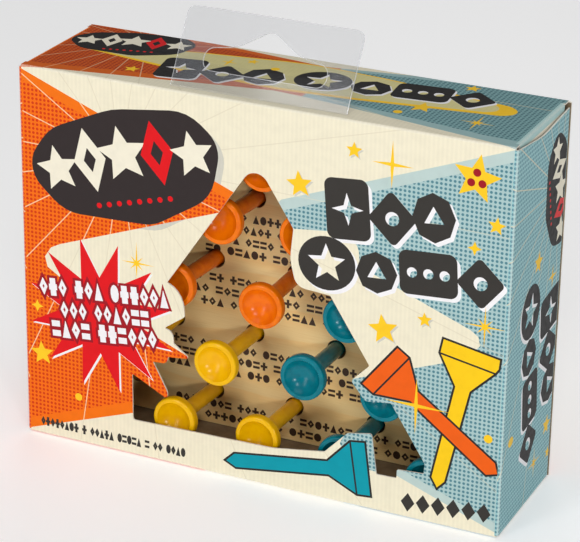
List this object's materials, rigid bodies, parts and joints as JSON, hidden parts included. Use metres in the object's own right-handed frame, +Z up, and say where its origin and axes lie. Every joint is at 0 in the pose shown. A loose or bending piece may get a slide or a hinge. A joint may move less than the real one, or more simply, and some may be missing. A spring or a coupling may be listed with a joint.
{
  "type": "triangle peg jump game",
  "caption": "Triangular wooden peg-jump board with golf-tee pegs, in its tuck-end window carton with a clear hang tab.",
  "frame": {"origin": "middle of the carton's footprint, on the surface it stands on", "axes": "+Z up; +X to the right seen from the front; the front face, with the window, looks along -Y"},
  "size_m": [0.152, 0.043, 0.1377],
  "materials": {
    "carton_card": "satin coated carton board printed in orange, light blue, cream, red and yellow, white raw edges",
    "clear_film": "clear glossy polyester film",
    "pine": "plain sanded pine with printed rules",
    "orange_plastic": "glossy moulded",
    "yellow_plastic": "glossy moulded",
    "teal_plastic": "glossy moulded"
  },
  "bodies": {
    "carton": {"front_panel": "carton_card", "back_panel": "carton_card", "top_panel": "carton_card", "bottom_panel": "carton_card", "glue_flap": "carton_card", "hang_tab_base": "clear_film"},
    "right_end": {"right_end_panel": "carton_card"},
    "right_tuck": {"right_tuck_flap": "carton_card"},
    "right_top_dust": {"right_top_dust_flap": "carton_card"},
    "right_bottom_dust": {"right_bottom_dust_flap": "carton_card"},
    "left_end": {"left_end_panel": "carton_card"},
    "left_tuck": {"left_tuck_flap": "carton_card"},
    "left_top_dust": {"left_top_dust_flap": "carton_card"},
    "left_bottom_dust": {"left_bottom_dust_flap": "carton_card"},
    "hang_tab": {"hang_tab_flap": "clear_film"},
    "board": {"play_board": "pine"},
    "orange_peg_1": {"orange_peg_1": "orange_plastic"},
    "orange_peg_2": {"orange_peg_2": "orange_plastic"},
    "orange_peg_3": {"orange_peg_3": "orange_plastic"},
    "orange_peg_4": {"orange_peg_4": "orange_plastic"},
    "orange_peg_5": {"orange_peg_5": "orange_plastic"},
    "teal_peg_1": {"teal_peg_1": "teal_plastic"},
    "yellow_peg_1": {"yellow_peg_1": "yellow_plastic"},
    "yellow_peg_2": {"yellow_peg_2": "yellow_plastic"},
    "teal_peg_2": {"teal_peg_2": "teal_plastic"},
    "teal_peg_3": {"teal_peg_3": "teal_plastic"},
    "yellow_peg_3": {"yellow_peg_3": "yellow_plastic"},
    "yellow_peg_4": {"yellow_peg_4": "yellow_plastic"},
    "teal_peg_4": {"teal_peg_4": "teal_plastic"},
    "teal_peg_5": {"teal_peg_5": "teal_plastic"}
  },
  "joints": [
    {"name": "right_end_hinge", "type": "hinge", "parent": "carton", "child": "right_end", "pos_m": [0.07575, -0.02125, 0.0585], "axis": [0, 0, -1], "range_deg": [0, 130]},
    {"name": "right_tuck_hinge", "type": "hinge", "parent": "right_end", "child": "right_tuck", "pos_m": [0.07575, 0.0204, 0.0585], "axis": [0, 0, -1], "range_deg": [0, 33]},
    {"name": "right_top_dust_hinge", "type": "hinge", "parent": "carton", "child": "right_top_dust", "pos_m": [0.07495, 0, 0.11675], "axis": [0, -1, 0], "range_deg": [0, 48]},
    {"name": "right_bottom_dust_hinge", "type": "hinge", "parent": "carton", "child": "right_bottom_dust", "pos_m": [0.07495, 0, 0.00025], "axis": [0, 1, 0], "range_deg": [0, 48]},
    {"name": "left_end_hinge", "type": "hinge", "parent": "carton", "child": "left_end", "pos_m": [-0.07575, -0.02125, 0.0585], "axis": [0, 0, 1], "range_deg": [0, 130]},
    {"name": "left_tuck_hinge", "type": "hinge", "parent": "left_end", "child": "left_tuck", "pos_m": [-0.07575, 0.0204, 0.0585], "axis": [0, 0, 1], "range_deg": [0, 33]},
    {"name": "left_top_dust_hinge", "type": "hinge", "parent": "carton", "child": "left_top_dust", "pos_m": [-0.07495, 0, 0.11675], "axis": [0, 1, 0], "range_deg": [0, 48]},
    {"name": "left_bottom_dust_hinge", "type": "hinge", "parent": "carton", "child": "left_bottom_dust", "pos_m": [-0.07495, 0, 0.00025], "axis": [0, -1, 0], "range_deg": [0, 48]},
    {"name": "hang_tab_hinge", "type": "hinge", "parent": "carton", "child": "hang_tab", "pos_m": [-0.0014, -0.0187, 0.1176], "axis": [1, 0, 0], "range_deg": [-50, 120], "stiffness_Nm_per_rad": 0.001},
    {"name": "board_shift", "type": "slide", "parent": "carton", "child": "board", "axis": [1, 0, 0], "range_m": [-0.0045, 0.0045]},
    {"name": "orange_peg_1_lift", "type": "slide", "parent": "board", "child": "orange_peg_1", "axis": [-0.0065, -0.9984, -0.0556], "range_m": [0, 0.0009]},
    {"name": "orange_peg_2_lift", "type": "slide", "parent": "board", "child": "orange_peg_2", "axis": [0.0131, -0.9978, 0.0654], "range_m": [0, 0.0009]},
    {"name": "orange_peg_3_lift", "type": "slide", "parent": "board", "child": "orange_peg_3", "axis": [-0.0164, -0.9979, 0.0622], "range_m": [0, 0.0009]},
    {"name": "orange_peg_4_lift", "type": "slide", "parent": "board", "child": "orange_peg_4", "axis": [-0.0393, -0.9987, 0.0327], "range_m": [0, 0.0009]},
    {"name": "orange_peg_5_lift", "type": "slide", "parent": "board", "child": "orange_peg_5", "axis": [0.0098, -0.9999, -0.0066], "range_m": [0, 0.045]},
    {"name": "teal_peg_1_lift", "type": "slide", "parent": "board", "child": "teal_peg_1", "axis": [0.0033, -0.9996, 0.0295], "range_m": [0, 0.0009]},
    {"name": "yellow_peg_1_lift", "type": "slide", "parent": "board", "child": "yellow_peg_1", "axis": [0.0098, -0.9998, 0.0164], "range_m": [0, 0.0009]},
    {"name": "yellow_peg_2_lift", "type": "slide", "parent": "board", "child": "yellow_peg_2", "axis": [-0.0262, -0.9996, 0.0098], "range_m": [0, 0.045]},
    {"name": "teal_peg_2_lift", "type": "slide", "parent": "board", "child": "teal_peg_2", "axis": [0.0164, -0.9981, 0.0589], "range_m": [0, 0.045]},
    {"name": "teal_peg_3_lift", "type": "slide", "parent": "board", "child": "teal_peg_3", "axis": [-0.0426, -0.999, 0.0131], "range_m": [0, 0.0009]},
    {"name": "yellow_peg_3_lift", "type": "slide", "parent": "board", "child": "yellow_peg_3", "axis": [-0.0295, -0.9991, 0.0295], "range_m": [0, 0.0009]},
    {"name": "yellow_peg_4_lift", "type": "slide", "parent": "board", "child": "yellow_peg_4", "axis": [-0.0131, -0.9995, 0.0295], "range_m": [0, 0.0009]},
    {"name": "teal_peg_4_lift", "type": "slide", "parent": "board", "child": "teal_peg_4", "axis": [-0.0229, -0.9997, 0.0098], "range_m": [0, 0.0009]},
    {"name": "teal_peg_5_lift", "type": "slide", "parent": "board", "child": "teal_peg_5", "axis": [0.0033, -0.9997, -0.0262], "range_m": [0, 0.0009]}
  ],
  "couplings": [
    {"joint": "right_tuck_hinge", "follows": "right_end_hinge", "ratio": 0.25},
    {"joint": "right_top_dust_hinge", "follows": "right_end_hinge", "ratio": 0.36},
    {"joint": "right_bottom_dust_hinge", "follows": "right_end_hinge", "ratio": 0.36},
    {"joint": "left_tuck_hinge", "follows": "left_end_hinge", "ratio": 0.25},
    {"joint": "left_top_dust_hinge", "follows": "left_end_hinge", "ratio": 0.36},
    {"joint": "left_bottom_dust_hinge", "follows": "left_end_hinge", "ratio": 0.36}
  ]
}
